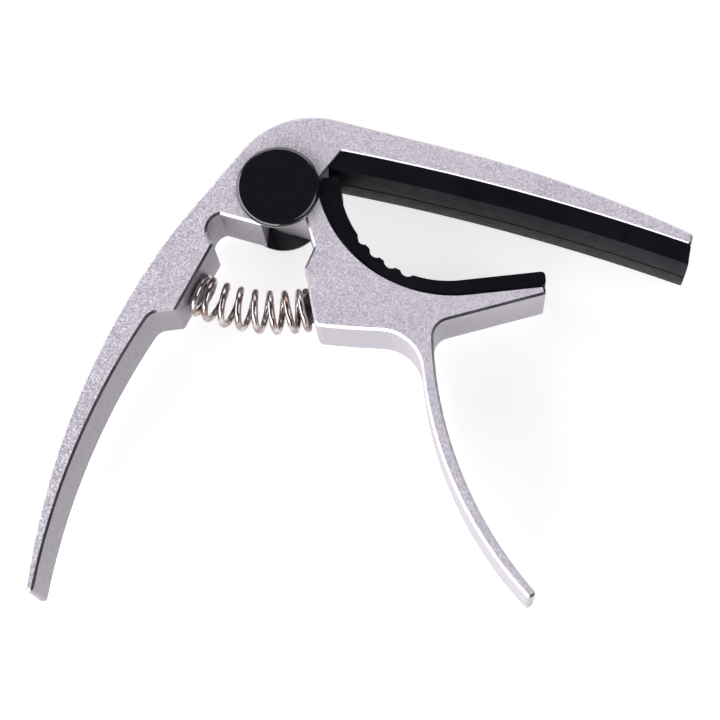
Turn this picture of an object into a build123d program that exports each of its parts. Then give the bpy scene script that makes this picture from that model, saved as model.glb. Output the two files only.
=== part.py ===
"""Trigger capo for a guitar: two sprung castings on one pivot, with a rubber pad on each.

The pivot is the Z axis. The capo lies flat on its rear cap, whose outer face is Z = 0.
X runs along the bar from the pivot to the tip, and Y points away from the handles.
Points are (X, Y) in millimetres from the pivot, and angles are in degrees from +X.
"""

import os
from math import acos, atan2, cos, degrees, hypot, radians, sin

from build123d import *

# ---- castings ----
BODY_DEPTH = 13.0  # both castings, along the pivot
CAP_PROUD = 1.2  # how far each cap stands out of the castings
EDGE_CHAMFER = 0.4  # bright edge round the faces of the castings
SMALL_CORNER = 0.6
TIP_CORNER = 0.55
BACK = CAP_PROUD
FRONT = BACK + BODY_DEPTH
MIDDLE = BACK + BODY_DEPTH / 2

# bar: its underside is an arc, like a guitar's fingerboard
BAR_CENTRE = (-74.6, -384.6)
BAR_RADIUS = 400.0
BAR_FROM = 77.7
BAR_TO = 69.1
BAR_TIP = (68.5, -8.9)
BAR_BEND = (34.0, 5.1)  # where the straight back of the bar starts to curve down
BAR_BEND_RADIUS = 230.0
CROWN = (0.0, 14.6)  # corner over the pivot before it is rounded
CROWN_RADIUS = 15.0

# upper handle
UPPER_SHOULDER = (-17.3, -6.7)
UPPER_TIP_OUTER = (-40.25, -67.2)
UPPER_TIP_INNER = (-38.85, -67.2)
UPPER_OUTER_RADIUS = 125.6
UPPER_INNER_RADIUS = 119.1
UPPER_STEP = (-21.05, -21.3)
UPPER_STEP_ROUND = 2.5
SEAT_FOOT = (-16.8, -20.8)  # flat that the spring pushes on
SEAT_HEAD = (-10.7, -9.4)
POCKET_SIDE = (-11.85, -6.8)
POCKET_TOP = (-9.7, -4.4)
ARM_HEEL = (-2.85, -6.4)
KNUCKLE_HEEL_X = -2.45

# jaw: a round cradle for the neck of the guitar
CRADLE_CENTRE = (29.25, 4.3)
CRADLE_RADIUS = 22.9
CRADLE_FROM = 190.0
CRADLE_TO = 275.6
CRADLE_RUNOUT = 12.5  # length of the straight part beyond the arc
JAW_TIP = (44.2, -18.8)
JAW_CROTCH = (25.6, -23.6)  # corner between jaw and handle before it is rounded
JAW_CROTCH_RADIUS = 3.0
JAW_CORNER = (4.5, -5.2)
JAW_HOLLOW = (6.0, -10.3)
JAW_SEAT_HEAD = (4.42, -13.9)  # flat that the spring pushes on
JAW_SEAT_FOOT = (6.2, -23.75)
JAW_HEEL_ROUND = 1.2
JAW_BELLY = (16.9, -24.7)

# lower handle
LOWER_SHOULDER = (23.7, -31.2)
LOWER_TIP_OUTER = (40.4, -68.9)
LOWER_TIP_INNER = (41.7, -68.1)
LOWER_OUTER_RADIUS = 64.8
LOWER_INNER_RADIUS = 66.9

# ---- knuckle: the jaw is a fork, and the tongue of the arm sits between its cheeks ----
KNUCKLE_RADIUS = 3.6
KNUCKLE_CLEARANCE = 0.2
CHEEK = 3.4
FLANGE = 0.4
PLAY = 0.025  # end play on each side of the flanges
STOP_ANGLE = 9.0  # the castings meet here when the capo is closed
STOP_LENGTH = 6.6
STOP_GAP = 0.03
TONGUE_HALF = BODY_DEPTH / 2 - CHEEK - FLANGE - 2 * PLAY
notch = CHEEK + FLANGE + 2 * PLAY

# ---- pivot: a hollow post with a flat head, and a screw in its other end ----
POST_RADIUS = 1.6
BUSH_RADIUS = 2.1
FLANGE_RADIUS = 3.2
FIT = 0.03  # radial clearance of a running fit
PRESS = 0.01  # radial clearance of what is pressed or snapped in
HEAD_RADIUS = 2.7
HEAD_SUNK = 0.6
HEAD_PROUD = 0.6
SCREW_RADIUS = 1.0
SCREW_LENGTH = 8.0
SLOT_WIDTH = 0.6
HEX_ACROSS = 2.0
DRIVE_DEPTH = 0.7

CAP_RADIUS = 7.0
CAP_GAP = 0.03
CAP_ROUND = 0.8

# ---- rubber pads ----
PAD_INSET = 0.1  # the pads stop just short of the faces of the castings
PAD_GAP = 0.02
STRING_PAD_HEIGHT = 3.2
STRING_PAD_CROWN = 0.4
STRING_PAD_CORNER = 0.9
STRING_PAD_TIP = (68.0, -11.1)
STRING_PAD_TIP_FOOT = (67.4, -14.6)
SEAM_WIDTH = 0.5  # parting line along the middle of the string pad
SEAM_DEPTH = 0.2
NECK_PAD_FROM = 188.2  # angle on the cradle's arc
NECK_PAD_HEAD = (7.5, 1.7)
NECK_PAD_RUNOUT = 12.8
NECK_PAD_CORNER = 0.7
FACE_CENTRE = (28.4, 1.8)  # the face that meets the neck is a second arc, thinner in its middle
FACE_RADIUS = 18.2
FACE_FROM = 180.0
FACE_TO = 274.1
GROOVE_RADIUS = 1.3
GROOVE_DEPTH = 0.6
GROOVE_COUNT = 4
GROOVE_FROM = 217.0
GROOVE_STEP = 10.0
TENON_WIDTH = 4.0
TENON_DEPTH = 1.2
TENON_END = 0.02  # angle left free at each end of a groove
BAR_TENON = (71.0, 76.8)  # angles on the bar's arc
JAW_TENON = (206.0, 262.0)  # angles on the cradle's arc

# ---- spring: its axis is an arc that meets both seats squarely ----
SPRING_AXIS_RADIUS = 28.6
SPRING_RADIUS = 3.2  # to the middle of the wire
WIRE = 1.15
END_PITCH = 1.4  # rise of the closed turn at each end
MIDDLE_TURNS = 6
POINTS_PER_TURN = 12
PEG_RADIUS = 2.4
PEG_HEIGHT = 1.3
PEG_STEM_RADIUS = 1.0
PEG_STEM = 2.5
PEG_BEVEL = 0.5
PEG_BOTTOM = 0.2  # space left under the stem


def polar(centre, radius, angle):
    """The point at a distance and an angle from a centre."""
    return Vector(centre) + Vector(radius, 0).rotate(Axis.Z, angle)


def pivot_axis(centre):
    """An axis through a centre, parallel to the pivot."""
    return Axis((*centre, MIDDLE), (0, 0, 1))


def radial_plane(centre, angle):
    """A plane through such an axis, whose X runs outwards and whose Y runs along the pivot."""
    out = (cos(radians(angle)), sin(radians(angle)), 0)
    return Plane(origin=(*centre, MIDDLE), x_dir=out, z_dir=(out[1], -out[0], 0))


def end_plane(low, high):
    """An upright plane through two points, facing the left side of the way from low to high."""
    along = (Vector(high) - Vector(low)).normalized()
    return Plane(origin=(*low, MIDDLE), x_dir=along, z_dir=(-along.Y, along.X, 0))


def at_points(sketch, *points):
    """The corners of a sketch that stand at the given points."""
    spots = [Vector(point) for point in points]
    return [v for v in sketch.vertices() if min((Vector(v.X, v.Y) - p).length for p in spots) < 0.01]


def seat_line(foot, head, side):
    """A flat's direction away from the casting, and its offset to the middle of the end turn."""
    along = (Vector(*head) - Vector(*foot)).normalized()
    outward = Vector(along.Y, -along.X) * side
    return outward, outward.dot(Vector(*foot)) + WIRE / 2 + PRESS


# the spring's arc is centred where the planes of its two end turns meet
arm_out, arm_offset = seat_line(SEAT_FOOT, SEAT_HEAD, 1)
jaw_out, jaw_offset = seat_line(JAW_SEAT_FOOT, JAW_SEAT_HEAD, -1)
cross = arm_out.X * jaw_out.Y - arm_out.Y * jaw_out.X
spring_centre = Vector(
    (arm_offset * jaw_out.Y - arm_out.Y * jaw_offset) / cross,
    (arm_out.X * jaw_offset - arm_offset * jaw_out.X) / cross,
)
spring_from = degrees(atan2(-arm_out.X, arm_out.Y))
spring_to = degrees(atan2(jaw_out.X, -jaw_out.Y))
arm_seat = polar(spring_centre, SPRING_AXIS_RADIUS, spring_from) - arm_out * (WIRE / 2 + PRESS)
jaw_seat = polar(spring_centre, SPRING_AXIS_RADIUS, spring_to) - jaw_out * (WIRE / 2 + PRESS)
arm_seat_plane = Plane(origin=(arm_seat.X, arm_seat.Y, MIDDLE), z_dir=arm_out)
jaw_seat_plane = Plane(origin=(jaw_seat.X, jaw_seat.Y, MIDDLE), z_dir=jaw_out)

os.makedirs("parts", exist_ok=True)

# ---- upper arm: the bar and the upper handle, one casting ----
bar_root = polar(BAR_CENTRE, BAR_RADIUS, BAR_FROM)
bar_end = polar(BAR_CENTRE, BAR_RADIUS, BAR_TO)
stop_lift = polar((0, 0), STOP_GAP, STOP_ANGLE + 90)
arm_stop_outer = polar((0, 0), STOP_LENGTH, STOP_ANGLE) + stop_lift
arm_stop_inner = polar((0, 0), KNUCKLE_RADIUS, STOP_ANGLE) + stop_lift
knuckle_heel = (KNUCKLE_HEEL_X, -((KNUCKLE_RADIUS**2 - KNUCKLE_HEEL_X**2) ** 0.5))

with BuildPart() as upper_arm:
    with BuildSketch(Plane.XY.offset(BACK)) as arm_outline:
        with BuildLine():
            RadiusArc(UPPER_TIP_OUTER, UPPER_SHOULDER, UPPER_OUTER_RADIUS)
            FilletPolyline(UPPER_SHOULDER, CROWN, BAR_BEND, radius=CROWN_RADIUS)
            RadiusArc(BAR_BEND, BAR_TIP, BAR_BEND_RADIUS)
            Line(BAR_TIP, bar_end)
            RadiusArc(bar_end, bar_root, -BAR_RADIUS)
            Polyline(bar_root, arm_stop_outer, arm_stop_inner)
            RadiusArc(arm_stop_inner, knuckle_heel, KNUCKLE_RADIUS)
            Polyline(knuckle_heel, ARM_HEEL, POCKET_TOP)
            ThreePointArc(POCKET_TOP, POCKET_SIDE, SEAT_HEAD)
            Polyline(SEAT_HEAD, SEAT_FOOT, UPPER_STEP)
            RadiusArc(UPPER_STEP, UPPER_TIP_INNER, -UPPER_INNER_RADIUS)
            Line(UPPER_TIP_INNER, UPPER_TIP_OUTER)
        make_face()
        fillet(at_points(arm_outline, UPPER_TIP_INNER, UPPER_TIP_OUTER, BAR_TIP, bar_end), TIP_CORNER)
        fillet(at_points(arm_outline, SEAT_HEAD, SEAT_FOOT), SMALL_CORNER)
        fillet(at_points(arm_outline, UPPER_STEP), UPPER_STEP_ROUND)
    extrude(amount=BODY_DEPTH)
    chamfer(upper_arm.faces().filter_by(Axis.Z).edges(), EDGE_CHAMFER)
    # room for the cheeks of the jaw, and a bore for the post
    with Locations((0, 0, FRONT - notch / 2), (0, 0, BACK + notch / 2)):
        Cylinder(KNUCKLE_RADIUS + KNUCKLE_CLEARANCE, notch, mode=Mode.SUBTRACT)
    Hole(POST_RADIUS + PRESS)
    # a groove for the string pad and a hole for the peg
    with BuildSketch(radial_plane(BAR_CENTRE, BAR_TENON[0])):
        with Locations((BAR_RADIUS, 0)):
            Rectangle(2 * (TENON_DEPTH + PAD_GAP), TENON_WIDTH + 2 * PAD_GAP)
    revolve(axis=pivot_axis(BAR_CENTRE), revolution_arc=BAR_TENON[1] - BAR_TENON[0], mode=Mode.SUBTRACT)
    with Locations(arm_seat_plane):
        Hole(PEG_STEM_RADIUS + PRESS, PEG_STEM + PEG_BOTTOM)
upper_arm.part.label = "upper_arm"
export_step(upper_arm.part, "parts/upper_arm.step")

# ---- lower jaw: the cradle and the lower handle, one casting ----
jaw_stop_outer = polar((0, 0), STOP_LENGTH, STOP_ANGLE)
jaw_stop_inner = polar((0, 0), KNUCKLE_RADIUS, STOP_ANGLE)
cradle_start = polar(CRADLE_CENTRE, CRADLE_RADIUS, CRADLE_FROM)
cradle_end = polar(CRADLE_CENTRE, CRADLE_RADIUS, CRADLE_TO)
jaw_end = polar(cradle_end, CRADLE_RUNOUT, CRADLE_TO - 270)
web_angle = degrees(atan2(JAW_CORNER[1], JAW_CORNER[0]) - acos(KNUCKLE_RADIUS / hypot(*JAW_CORNER)))
web_foot = polar((0, 0), KNUCKLE_RADIUS, web_angle)

with BuildPart() as lower_jaw:
    with BuildSketch(Plane.XY.offset(BACK)) as jaw_outline:
        with BuildLine():
            Polyline(jaw_stop_inner, jaw_stop_outer, cradle_start)
            RadiusArc(cradle_start, cradle_end, -CRADLE_RADIUS)
            Polyline(cradle_end, jaw_end, JAW_TIP, JAW_CROTCH)
            RadiusArc(JAW_CROTCH, LOWER_TIP_INNER, -LOWER_INNER_RADIUS)
            Line(LOWER_TIP_INNER, LOWER_TIP_OUTER)
            handle = RadiusArc(LOWER_TIP_OUTER, LOWER_SHOULDER, LOWER_OUTER_RADIUS)
            shoulder = TangentArc(LOWER_SHOULDER, JAW_BELLY, tangent=handle % 1)
            TangentArc(JAW_BELLY, JAW_SEAT_FOOT, tangent=shoulder % 1)
            Polyline(JAW_SEAT_FOOT, JAW_SEAT_HEAD, JAW_HOLLOW, JAW_CORNER, web_foot)
            ThreePointArc(web_foot, polar((0, 0), KNUCKLE_RADIUS, 130), jaw_stop_inner)
        make_face()
        fillet(at_points(jaw_outline, LOWER_TIP_INNER, LOWER_TIP_OUTER, jaw_end, JAW_TIP), TIP_CORNER)
        fillet(at_points(jaw_outline, JAW_CROTCH), JAW_CROTCH_RADIUS)
        fillet(at_points(jaw_outline, JAW_SEAT_FOOT), JAW_HEEL_ROUND)
        fillet(at_points(jaw_outline, JAW_SEAT_HEAD, JAW_HOLLOW), SMALL_CORNER)
    extrude(amount=BODY_DEPTH)
    chamfer(lower_jaw.edges().filter_by(Axis.Z, reverse=True), EDGE_CHAMFER)
    # room for the tongue of the arm, and a bore with a sinking for a head in each cheek
    with Locations((0, 0, MIDDLE)):
        Cylinder(KNUCKLE_RADIUS + KNUCKLE_CLEARANCE, BODY_DEPTH - 2 * CHEEK, mode=Mode.SUBTRACT)
    with Locations((0, 0, FRONT - HEAD_SUNK / 2), (0, 0, BACK + HEAD_SUNK / 2)):
        Cylinder(HEAD_RADIUS + FIT, HEAD_SUNK, mode=Mode.SUBTRACT)
    Hole(BUSH_RADIUS + PRESS)
    # a groove for the neck pad and a hole for the peg
    with BuildSketch(radial_plane(CRADLE_CENTRE, JAW_TENON[0])):
        with Locations((CRADLE_RADIUS, 0)):
            Rectangle(2 * (TENON_DEPTH + PAD_GAP), TENON_WIDTH + 2 * PAD_GAP)
    revolve(axis=pivot_axis(CRADLE_CENTRE), revolution_arc=JAW_TENON[1] - JAW_TENON[0], mode=Mode.SUBTRACT)
    with Locations(jaw_seat_plane):
        Hole(PEG_STEM_RADIUS + PRESS, PEG_STEM + PEG_BOTTOM)
lower_jaw.part.label = "lower_jaw"
export_step(lower_jaw.part, "parts/lower_jaw.step")

# ---- pads: each is a ring section with a tenon that presses into its casting ----
pad_half = BODY_DEPTH / 2 - PAD_INSET
string_pad_top = BAR_RADIUS - PAD_GAP
string_pad_foot = string_pad_top - STRING_PAD_HEIGHT
neck_pad_back = CRADLE_RADIUS - PAD_GAP
neck_pad_start = polar(CRADLE_CENTRE, neck_pad_back, NECK_PAD_FROM)
neck_pad_turn = polar(CRADLE_CENTRE, neck_pad_back, CRADLE_TO)
neck_pad_end = polar(neck_pad_turn, NECK_PAD_RUNOUT, CRADLE_TO - 270)
face_start = polar(FACE_CENTRE, FACE_RADIUS, FACE_FROM)
face_turn = polar(FACE_CENTRE, FACE_RADIUS, FACE_TO)
face_end = face_turn + (neck_pad_end - face_turn).project_to_line(neck_pad_end - neck_pad_turn)

with BuildPart() as string_pad:
    with BuildSketch(radial_plane(BAR_CENTRE, BAR_TO - 1)):
        with BuildLine():
            Polyline(
                (string_pad_foot, pad_half),
                (string_pad_top, pad_half),
                (string_pad_top, -pad_half),
                (string_pad_foot, -pad_half),
            )
            crown = (string_pad_foot - STRING_PAD_CROWN, 0)
            ThreePointArc((string_pad_foot, -pad_half), crown, (string_pad_foot, pad_half))
        make_face()
        with Locations(crown):
            Rectangle(2 * SEAM_DEPTH, SEAM_WIDTH, mode=Mode.SUBTRACT)
    revolve(axis=pivot_axis(BAR_CENTRE), revolution_arc=BAR_FROM - BAR_TO + 2)
    split(bisect_by=end_plane(arm_stop_outer, bar_root).offset(-PAD_GAP), keep=Keep.BOTTOM)
    split(bisect_by=end_plane(STRING_PAD_TIP, STRING_PAD_TIP_FOOT), keep=Keep.BOTTOM)
    fillet(string_pad.faces().sort_by(Axis.X)[-1].edges().sort_by(Axis.Y)[0], STRING_PAD_CORNER)
    with BuildSketch(radial_plane(BAR_CENTRE, BAR_TENON[0] + TENON_END)):
        with Locations((string_pad_top, 0)):
            Rectangle(2 * TENON_DEPTH, TENON_WIDTH)
    revolve(axis=pivot_axis(BAR_CENTRE), revolution_arc=BAR_TENON[1] - BAR_TENON[0] - 2 * TENON_END)
string_pad.part.label = "string_pad"
export_step(string_pad.part, "parts/string_pad.step")

with BuildPart() as neck_pad:
    with BuildSketch(Plane.XY.offset(BACK + PAD_INSET)) as neck_pad_outline:
        with BuildLine():
            RadiusArc(neck_pad_start, neck_pad_turn, -neck_pad_back)
            Polyline(neck_pad_turn, neck_pad_end, face_end, face_turn)
            RadiusArc(face_turn, face_start, FACE_RADIUS)
            Polyline(face_start, NECK_PAD_HEAD, neck_pad_start)
        make_face()
        fillet(at_points(neck_pad_outline, neck_pad_end, face_end), NECK_PAD_CORNER)
        grooves = (GROOVE_COUNT - 1) * GROOVE_STEP
        groove_reach = FACE_RADIUS + GROOVE_DEPTH - GROOVE_RADIUS
        with Locations(FACE_CENTRE):
            with PolarLocations(groove_reach, GROOVE_COUNT, GROOVE_FROM, grooves, endpoint=True):
                Circle(GROOVE_RADIUS, mode=Mode.SUBTRACT)
    extrude(amount=2 * pad_half)
    with BuildSketch(radial_plane(CRADLE_CENTRE, JAW_TENON[0] + TENON_END)):
        with Locations((neck_pad_back, 0)):
            Rectangle(2 * TENON_DEPTH, TENON_WIDTH)
    revolve(axis=pivot_axis(CRADLE_CENTRE), revolution_arc=JAW_TENON[1] - JAW_TENON[0] - 2 * TENON_END)
neck_pad.part.label = "neck_pad"
export_step(neck_pad.part, "parts/neck_pad.step")

# ---- pivot: the post comes in from the rear, and the screw from the front ----
with BuildPart() as pivot_post:
    with BuildSketch(Plane.XY.offset(BACK - HEAD_PROUD)):
        Circle(HEAD_RADIUS)
    extrude(amount=HEAD_PROUD + HEAD_SUNK - PLAY)
    with BuildSketch(Plane.XY.offset(BACK)):
        Circle(POST_RADIUS)
    extrude(amount=BODY_DEPTH - HEAD_SUNK + PLAY)
    with BuildSketch(Plane.XY.offset(FRONT)):
        Circle(SCREW_RADIUS + PRESS)
    extrude(amount=-SCREW_LENGTH - HEAD_SUNK - 2 * PLAY, mode=Mode.SUBTRACT)
    with BuildSketch(Plane.XY.offset(BACK - HEAD_PROUD)):
        Rectangle(2 * HEAD_RADIUS, SLOT_WIDTH)
    extrude(amount=DRIVE_DEPTH, mode=Mode.SUBTRACT)
pivot_post.part.label = "pivot_post"
export_step(pivot_post.part, "parts/pivot_post.step")

with BuildPart() as pivot_screw:
    with BuildSketch(Plane.XY.offset(FRONT + HEAD_PROUD)):
        Circle(HEAD_RADIUS)
    extrude(amount=-HEAD_PROUD - HEAD_SUNK + 2 * PLAY)
    with BuildSketch(Plane.XY.offset(FRONT)):
        Circle(SCREW_RADIUS)
    extrude(amount=-SCREW_LENGTH - HEAD_SUNK)
    with BuildSketch(Plane.XY.offset(FRONT + HEAD_PROUD)):
        RegularPolygon(HEX_ACROSS / 2, 6, major_radius=False)
    extrude(amount=-DRIVE_DEPTH, mode=Mode.SUBTRACT)
pivot_screw.part.label = "pivot_screw"
export_step(pivot_screw.part, "parts/pivot_screw.step")

# ---- bushings: a sleeve in each cheek, with a flange against the tongue ----
flange_face = MIDDLE + TONGUE_HALF + PLAY
sleeve_length = FRONT - HEAD_SUNK - PLAY - flange_face

with BuildPart() as front_bushing:
    with BuildSketch(Plane.XY.offset(flange_face)):
        Circle(FLANGE_RADIUS)
    extrude(amount=FLANGE)
    with BuildSketch(Plane.XY.offset(flange_face)):
        Circle(BUSH_RADIUS)
    extrude(amount=sleeve_length)
    with Locations((0, 0, FRONT)):
        Hole(POST_RADIUS + FIT)
front_bushing.part.label = "front_bushing"
export_step(front_bushing.part, "parts/front_bushing.step")

with BuildPart() as rear_bushing:
    mirror(front_bushing.part, about=Plane.XY.offset(MIDDLE))
rear_bushing.part.label = "rear_bushing"
export_step(rear_bushing.part, "parts/rear_bushing.step")

# ---- caps: each snaps over a head of the pivot ----
with BuildPart() as front_cap:
    with BuildSketch(Plane.XY.offset(FRONT + CAP_GAP)):
        Circle(CAP_RADIUS)
    extrude(amount=CAP_PROUD - CAP_GAP)
    fillet(front_cap.edges().sort_by(Axis.Z)[-1], CAP_ROUND)
    with BuildSketch(Plane.XY.offset(FRONT + CAP_GAP)):
        Circle(HEAD_RADIUS + PRESS)
    extrude(amount=HEAD_PROUD - CAP_GAP + PRESS, mode=Mode.SUBTRACT)
front_cap.part.label = "front_cap"
export_step(front_cap.part, "parts/front_cap.step")

with BuildPart() as rear_cap:
    mirror(front_cap.part, about=Plane.XY.offset(MIDDLE))
rear_cap.part.label = "rear_cap"
export_step(rear_cap.part, "parts/rear_cap.step")


# ---- spring pegs: pressed into the castings, one in each end of the spring ----
def spring_peg(seat):
    """A peg on a seat, with a bevelled head that the spring slips over."""
    with BuildPart() as peg:
        with BuildSketch(seat.offset(PRESS)):
            Circle(PEG_RADIUS)
        extrude(amount=PEG_HEIGHT)
        chamfer(peg.faces().sort_by(Axis(seat.origin, seat.z_dir))[-1].edges(), PEG_BEVEL)
        with BuildSketch(seat.offset(PRESS)):
            Circle(PEG_STEM_RADIUS)
        extrude(amount=-PEG_STEM)
    return peg.part


arm_peg = spring_peg(arm_seat_plane)
arm_peg.label = "arm_spring_peg"
export_step(arm_peg, "parts/arm_spring_peg.step")

jaw_peg = spring_peg(jaw_seat_plane)
jaw_peg.label = "jaw_spring_peg"
export_step(jaw_peg, "parts/jaw_spring_peg.step")


# ---- return spring: a coil on an arc, closed at both ends ----
def spring_point(turn):
    """The middle of the wire after a number of turns."""
    turns = MIDDLE_TURNS + 2
    length = SPRING_AXIS_RADIUS * radians(spring_to - spring_from)
    pitch = (length - 2 * END_PITCH) / MIDDLE_TURNS
    rise = END_PITCH * min(turn, 1) + pitch * min(max(turn - 1, 0), MIDDLE_TURNS)
    rise += END_PITCH * max(turn - turns + 1, 0)
    angle = spring_from + degrees(rise / SPRING_AXIS_RADIUS)
    reach = SPRING_AXIS_RADIUS - SPRING_RADIUS * cos(radians(360 * turn))
    height = MIDDLE + SPRING_RADIUS * sin(radians(360 * turn))
    centre = polar(spring_centre, reach, angle)
    return Vector(centre.X, centre.Y, height)


steps = (MIDDLE_TURNS + 2) * POINTS_PER_TURN
with BuildPart() as return_spring:
    with BuildLine() as wire_line:
        Spline(*[spring_point(step / POINTS_PER_TURN) for step in range(steps + 1)])
    with BuildSketch(Plane(origin=wire_line.line @ 0, z_dir=wire_line.line % 0)):
        Circle(WIRE / 2)
    sweep(is_frenet=True)
return_spring.part.label = "return_spring"
export_step(return_spring.part, "parts/return_spring.step")
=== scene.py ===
"""Looks of the guitar capo: finishes on the CAD nodes, the spring's coil built again as a wire, and
the studio around them.

Lengths are in metres, in the frame of the CAD. The pivot is the Z axis and the floor is Z = 0.
"""

from math import cos, pi, radians, sin

import bpy
from mathutils import Matrix, Vector


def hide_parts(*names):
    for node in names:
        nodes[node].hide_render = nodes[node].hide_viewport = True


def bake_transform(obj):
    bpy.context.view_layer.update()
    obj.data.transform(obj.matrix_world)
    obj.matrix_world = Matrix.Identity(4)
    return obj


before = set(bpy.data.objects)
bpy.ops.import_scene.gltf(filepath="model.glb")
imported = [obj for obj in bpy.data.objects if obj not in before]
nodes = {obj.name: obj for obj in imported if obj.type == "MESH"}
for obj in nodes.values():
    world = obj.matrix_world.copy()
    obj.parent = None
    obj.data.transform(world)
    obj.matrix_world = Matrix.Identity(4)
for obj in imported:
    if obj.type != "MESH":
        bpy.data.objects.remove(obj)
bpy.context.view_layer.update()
scene = bpy.context.scene

# ---- sizes shared with the CAD ----
MM = 0.001
FRONT = 14.2 * MM
SPRING_CENTRE = Vector((-0.282, 8.830, 7.7)) * MM
SPRING_AXIS_RADIUS = 28.6 * MM
SPRING_FROM = radians(-118.151)
SPRING_TO = radians(-79.757)
SPRING_RADIUS = 3.2 * MM
WIRE_RADIUS = 0.575 * MM
END_PITCH = 1.4 * MM
MIDDLE_TURNS = 6

# ---- sizes of the visual model alone ----
STEPS_PER_TURN = 56
WIRE_SIDES = 16
FLAKE = 0.17 * MM
FLOOR_REACH = 0.6

# ---- camera ----
camera = bpy.data.objects.new("camera", bpy.data.cameras.new("camera"))
scene.collection.objects.link(camera)
camera.data.lens = 110
camera.data.sensor_width = 36
camera.data.clip_start = 0.01
right = Vector((0.9986, 0.0, -0.0432))
up = Vector((0.0103, 0.971, 0.238))
back = right.cross(up).normalized()
turn = Matrix((right.normalized(), up.normalized(), back)).transposed().to_4x4()
camera.matrix_world = Matrix.Translation((0.02869, -0.11523, FRONT + 0.34836)) @ turn
scene.camera = camera


# ---- light: soft boxes all round, low on the left and high on the right; the ceiling stays dark ----
def soft_box(name, place, width, height, brightness):
    """A rectangular light of an even brightness, facing the object."""
    light = bpy.data.lights.new(name, "AREA")
    light.shape = "RECTANGLE"
    light.size = width
    light.size_y = height
    light.energy = brightness * pi * width * height
    holder = bpy.data.objects.new(name, light)
    holder.location = place
    holder.rotation_euler = Vector(place).to_track_quat("Z", "Y").to_euler()
    scene.collection.objects.link(holder)


soft_box("left", (-0.70, 0.0, 0.27), 1.0, 0.5, 4.2)
soft_box("front", (-0.38, -0.70, 0.27), 0.8, 0.48, 4.5)
soft_box("back", (0.05, 0.75, 0.42), 0.9, 0.5, 2.2)
soft_box("right", (0.55, -0.20, 0.62), 0.6, 0.6, 2.0)

room = bpy.data.worlds.new("room")
room.use_nodes = True
room.node_tree.nodes["Background"].inputs["Color"].default_value = (0.93, 0.92, 0.96, 1)
room.node_tree.nodes["Background"].inputs["Strength"].default_value = 0.07
scene.world = room
scene.view_settings.view_transform = "Standard"


# ---- materials ----
class Finish:
    """A material that is built node by node round one Principled shader."""

    def __init__(self, name):
        self.material = bpy.data.materials.new(name)
        self.material.use_nodes = True
        self.tree = self.material.node_tree
        self.shader = self.tree.nodes["Principled BSDF"]
        self.place = self.node("ShaderNodeTexCoord").outputs["Object"]

    def node(self, kind, inputs=None, **settings):
        """A new node. Inputs are given by name or number, as values or as sockets to link from."""
        made = self.tree.nodes.new(kind)
        for key, value in settings.items():
            setattr(made, key, value)
        for key, value in (inputs or {}).items():
            if isinstance(value, bpy.types.NodeSocket):
                self.tree.links.new(value, made.inputs[key])
            else:
                made.inputs[key].default_value = value
        return made

    def set(self, **inputs):
        """Inputs of the shader, with underscores for the spaces in their names."""
        for key, value in inputs.items():
            socket = self.shader.inputs[key.replace("_", " ")]
            if isinstance(value, bpy.types.NodeSocket):
                self.tree.links.new(value, socket)
            else:
                socket.default_value = value

    def noise(self, size, detail=2.0, roughness=0.5):
        """Noise with features of about the given size, from 0 to 1."""
        inputs = {"Vector": self.place, "Scale": 1 / size, "Detail": detail, "Roughness": roughness}
        return self.node("ShaderNodeTexNoise", inputs).outputs["Fac"]

    def math(self, operation, a, b=0.0):
        return self.node("ShaderNodeMath", {0: a, 1: b}, operation=operation).outputs[0]

    def remap(self, value, low, high, to_low, to_high):
        inputs = {0: value, 1: low, 2: high, 3: to_low, 4: to_high}
        return self.node("ShaderNodeMapRange", inputs).outputs[0]

    def mix(self, share, a, b):
        """A mix of two colours."""
        return self.node("ShaderNodeMix", {0: share, 6: a, 7: b}, data_type="RGBA").outputs[2]

    def vector(self, operation, inputs):
        return self.node("ShaderNodeVectorMath", inputs, operation=operation).outputs[0]

    def bump(self, height, distance, strength=1.0):
        inputs = {"Height": height, "Distance": distance, "Strength": strength}
        return self.node("ShaderNodeBump", inputs).outputs[0]


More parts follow.
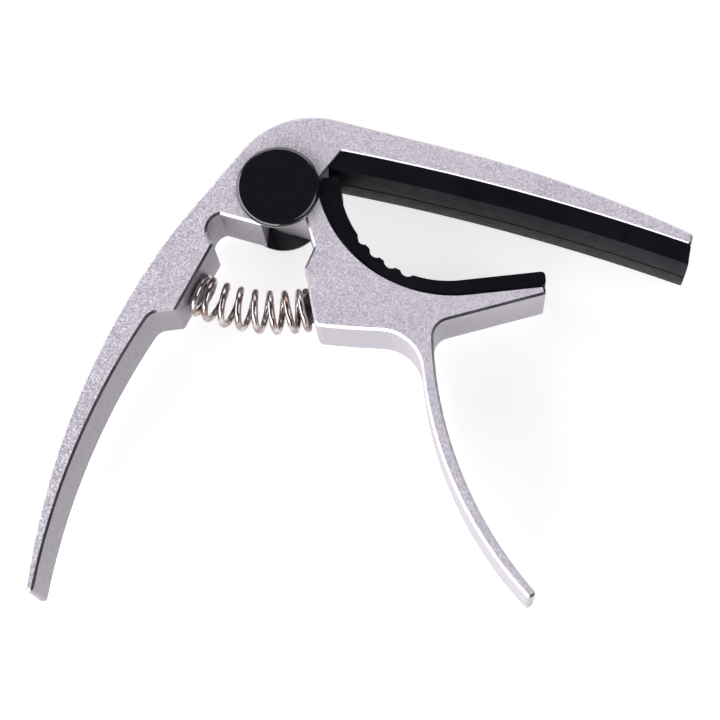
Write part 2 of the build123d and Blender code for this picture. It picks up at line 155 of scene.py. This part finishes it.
def silver_paint(name, painted_back, painted_side_shade, bevel_colour_and_shade):
    """Satin silver paint with flakes that catch the light one by one, bare bevels tinted with painted
    shade, and painted shade on the sides.
    """
    f = Finish(name)
    facing = f.node("ShaderNodeNewGeometry").outputs["True Normal"]
    # the masks are read in the piece's own axes, so they turn with it
    own_axes = {"vector_type": "NORMAL", "convert_from": "WORLD", "convert_to": "OBJECT"}
    own_facing = f.node("ShaderNodeVectorTransform", {0: facing}, **own_axes).outputs[0]
    lean = f.node("ShaderNodeSeparateXYZ", {0: own_facing})
    upright = f.math("ABSOLUTE", lean.outputs["Z"])
    # side marks the walls, which take painted shade in place of the paint's own colour
    side = f.remap(upright, 0.15, 0.5, 1.0, 0.0)
    # the bevels are the only faces that lean half way between the front and the sides
    off = f.math("ABSOLUTE", f.math("SUBTRACT", upright, cos(pi / 4)))
    bevel = f.remap(off, 0.012, 0.02, 1.0, 0.0)
    if painted_back:
        # the outer edge, from the bar's end over the crown to the handle's tip, keeps its paint
        inner = f.math("LESS_THAN", lean.outputs["Y"], 0.1)
        inner = f.math("MULTIPLY", inner, f.math("GREATER_THAN", lean.outputs["X"], -0.6))
        bevel = f.math("MULTIPLY", bevel, inner)
    # the bevels are bare metal whose colour is also painted shade, darker on the arm, where it draws
    # dark edge lines
    worn_and_shaded_bevel = f.math("MULTIPLY", bevel, f.remap(f.noise(0.004, 3.0), 0.3, 0.6, 0.85, 1.0))

    # each flake tilts the normal its own way; the bevels stay smooth
    flakes = f.node("ShaderNodeTexVoronoi", {"Vector": f.place, "Scale": 1 / FLAKE}, feature="F1")
    flake = flakes.outputs["Color"]
    tilt = f.vector("SUBTRACT", {0: flake, 1: (0.5, 0.5, 0.5)})
    tilt = f.vector("SCALE", {0: tilt, "Scale": f.remap(bevel, 0.0, 1.0, 0.55, 0.02)})
    grain = f.bump(f.noise(0.0004, 2.0), 0.00001, 0.4)
    base = f.node("ShaderNodeMix", {0: bevel, 4: grain, 5: facing}, data_type="VECTOR").outputs[1]
    normal = f.vector("NORMALIZE", {0: f.vector("ADD", {0: base, 1: tilt})})

    cloud = f.remap(f.noise(0.007, 4.0), 0.3, 0.7, 0.0, 1.0)
    body = f.mix(cloud, (0.83, 0.775, 0.885, 1), (0.90, 0.85, 0.955, 1))
    # painted shade: the walls get a darker colour than the front, darker on the arm than on the jaw
    body = f.mix(side, body, painted_side_shade)
    sparkle = f.node("ShaderNodeSeparateColor", {0: flake}).outputs[0]
    body = f.mix(f.remap(sparkle, 0.0, 1.0, 0.0, 0.55), body, (0.36, 0.33, 0.40, 1))
    # the bevels take their per-casting colour, partly bare metal and partly painted shade
    f.set(
        Base_Color=f.mix(worn_and_shaded_bevel, body, bevel_colour_and_shade),
        Metallic=f.remap(worn_and_shaded_bevel, 0.0, 1.0, 0.35, 1.0),
        Roughness=f.remap(worn_and_shaded_bevel, 0.0, 1.0, 0.42, 0.2),
        Normal=normal,
    )
    return f.material


def black_rubber():
    """Moulded rubber with a fine tooth and a faint bloom."""
    f = Finish("black_rubber")
    bloom = f.remap(f.noise(0.006, 4.0), 0.35, 0.7, 0.0, 1.0)
    f.set(
        Base_Color=f.mix(bloom, (0.0045, 0.004, 0.007, 1), (0.009, 0.008, 0.013, 1)),
        Roughness=f.remap(f.noise(0.002, 3.0), 0.3, 0.7, 0.42, 0.54),
        Normal=f.bump(f.noise(0.00018, 2.0), 0.00002, 0.6),
        Specular_IOR_Level=0.06,
    )
    return f.material


def gloss_black():
    """Polished black plastic with hairline scratches and a little dust."""
    f = Finish("gloss_black")
    dust = f.math("GREATER_THAN", f.noise(0.0003, 2.0), 0.74)
    f.set(
        Base_Color=f.mix(dust, (0.004, 0.004, 0.007, 1), (0.02, 0.02, 0.024, 1)),
        Roughness=f.remap(f.noise(0.003, 4.0), 0.3, 0.7, 0.10, 0.17),
        Specular_IOR_Level=0.7,
        Normal=f.bump(f.noise(0.0016, 3.0), 0.000012, 0.35),
        Coat_Weight=0.6,
        Coat_Roughness=0.16,
    )
    return f.material


def spring_wire():
    """Bright drawn wire with fine draw marks and a faint brown tint in places."""
    f = Finish("spring_wire")
    tint = f.remap(f.noise(0.0016, 3.0), 0.35, 0.65, 0.0, 1.0)
    f.set(
        Base_Color=f.mix(tint, (0.66, 0.62, 0.62, 1), (0.32, 0.24, 0.21, 1)),
        Metallic=1.0,
        Roughness=f.remap(f.noise(0.0005, 3.0), 0.3, 0.7, 0.14, 0.26),
        Normal=f.bump(f.noise(0.00015, 3.0), 0.000008, 0.4),
    )
    return f.material


def turned_steel():
    """Steel of the pivot, with turning marks."""
    f = Finish("turned_steel")
    turning = {"wave_type": "RINGS", "rings_direction": "Z"}
    rings = f.node("ShaderNodeTexWave", {"Vector": f.place, "Scale": 900.0}, **turning)
    f.set(
        Base_Color=f.mix(f.noise(0.002), (0.50, 0.50, 0.52, 1), (0.60, 0.60, 0.61, 1)),
        Metallic=1.0,
        Roughness=0.3,
        Normal=f.bump(rings.outputs["Fac"], 0.00001, 0.4),
    )
    return f.material


def black_nylon():
    """Plain black nylon, as moulded."""
    f = Finish("black_nylon")
    f.set(
        Base_Color=f.mix(f.noise(0.002), (0.014, 0.014, 0.015, 1), (0.024, 0.024, 0.026, 1)),
        Roughness=f.remap(f.noise(0.0008), 0.3, 0.7, 0.38, 0.5),
        Normal=f.bump(f.noise(0.0003), 0.00001, 0.5),
    )
    return f.material


# both castings have one paint; their side and bevel colours differ as painted shade, heavier on the
# arm than on the jaw
arm_paint = silver_paint(
    "arm_silver",
    painted_back=True,
    painted_side_shade=(0.30, 0.277, 0.305, 1),
    bevel_colour_and_shade=(0.32, 0.315, 0.33, 1),
)
jaw_paint = silver_paint(
    "jaw_silver",
    painted_back=False,
    painted_side_shade=(0.47, 0.44, 0.48, 1),
    bevel_colour_and_shade=(0.50, 0.49, 0.515, 1),
)
rubber = black_rubber()
gloss = gloss_black()
steel = turned_steel()
nylon = black_nylon()
finishes = {
    "upper_arm": arm_paint,
    "lower_jaw": jaw_paint,
    "string_pad": rubber,
    "neck_pad": rubber,
    "front_cap": gloss,
    "rear_cap": gloss,
    "pivot_post": steel,
    "pivot_screw": steel,
    "front_bushing": nylon,
    "rear_bushing": nylon,
    "arm_spring_peg": nylon,
    "jaw_spring_peg": nylon,
}
for name, finish in finishes.items():
    nodes[name].data.materials.clear()
    nodes[name].data.materials.append(finish)


# ---- spring: the CAD's coil again, as a wire along its arc between the two castings ----
def spring_point(turn):
    """The middle of the wire after a number of turns."""
    turns = MIDDLE_TURNS + 2
    length = SPRING_AXIS_RADIUS * (SPRING_TO - SPRING_FROM)
    pitch = (length - 2 * END_PITCH) / MIDDLE_TURNS
    rise = END_PITCH * min(turn, 1) + pitch * min(max(turn - 1, 0), MIDDLE_TURNS)
    rise += END_PITCH * max(turn - turns + 1, 0)
    angle = SPRING_FROM + rise / SPRING_AXIS_RADIUS
    reach = SPRING_AXIS_RADIUS - SPRING_RADIUS * cos(2 * pi * turn)
    height = SPRING_RADIUS * sin(2 * pi * turn)
    return SPRING_CENTRE + Vector((reach * cos(angle), reach * sin(angle), height))


def wire_mesh(name, points, radius, sides):
    """A round wire along a line of points, with flat ends."""
    before, after = points[:1] + points[:-1], points[1:] + points[-1:]
    tangents = [(b - a).normalized() for a, b in zip(before, after)]
    aside = tangents[0].orthogonal().normalized()
    vertices, faces = [], []
    for point, tangent in zip(points, tangents):
        aside = (aside - tangent * aside.dot(tangent)).normalized()
        other = tangent.cross(aside)
        for side in range(sides):
            a = 2 * pi * side / sides
            vertices.append(point + radius * (aside * cos(a) + other * sin(a)))
    for ring in range(len(points) - 1):
        for side in range(sides):
            low, high = ring * sides + side, ring * sides + (side + 1) % sides
            faces.append((low, high, high + sides, low + sides))
    faces.append(tuple(reversed(range(sides))))
    faces.append(tuple(range((len(points) - 1) * sides, len(points) * sides)))
    mesh = bpy.data.meshes.new(name)
    mesh.from_pydata(vertices, [], faces)
    mesh.polygons.foreach_set("use_smooth", [len(face) == 4 for face in faces])
    made = bpy.data.objects.new(name, mesh)
    scene.collection.objects.link(made)
    return made


steps = (MIDDLE_TURNS + 2) * STEPS_PER_TURN
middle = [spring_point(step / STEPS_PER_TURN) for step in range(steps + 1)]
coil = wire_mesh("spring_coil", middle, WIRE_RADIUS, WIRE_SIDES)
coil.data.materials.append(spring_wire())
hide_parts("return_spring")
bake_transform(coil)

# ---- floor ----
floor_mesh = bpy.data.meshes.new("floor")
corners = [(FLOOR_REACH * x, FLOOR_REACH * y, 0) for x, y in ((-1, -1), (1, -1), (1, 1), (-1, 1))]
floor_mesh.from_pydata(corners, [], [(0, 1, 2, 3)])
floor = bpy.data.objects.new("floor", floor_mesh)
scene.collection.objects.link(floor)
pale = Finish("pale_floor")
pale.set(
    Base_Color=(0.55, 0.54, 0.55, 1),
    Roughness=0.7,
    Emission_Color=(1, 1, 1, 1),
    Emission_Strength=0.72,
)
floor.data.materials.append(pale.material)
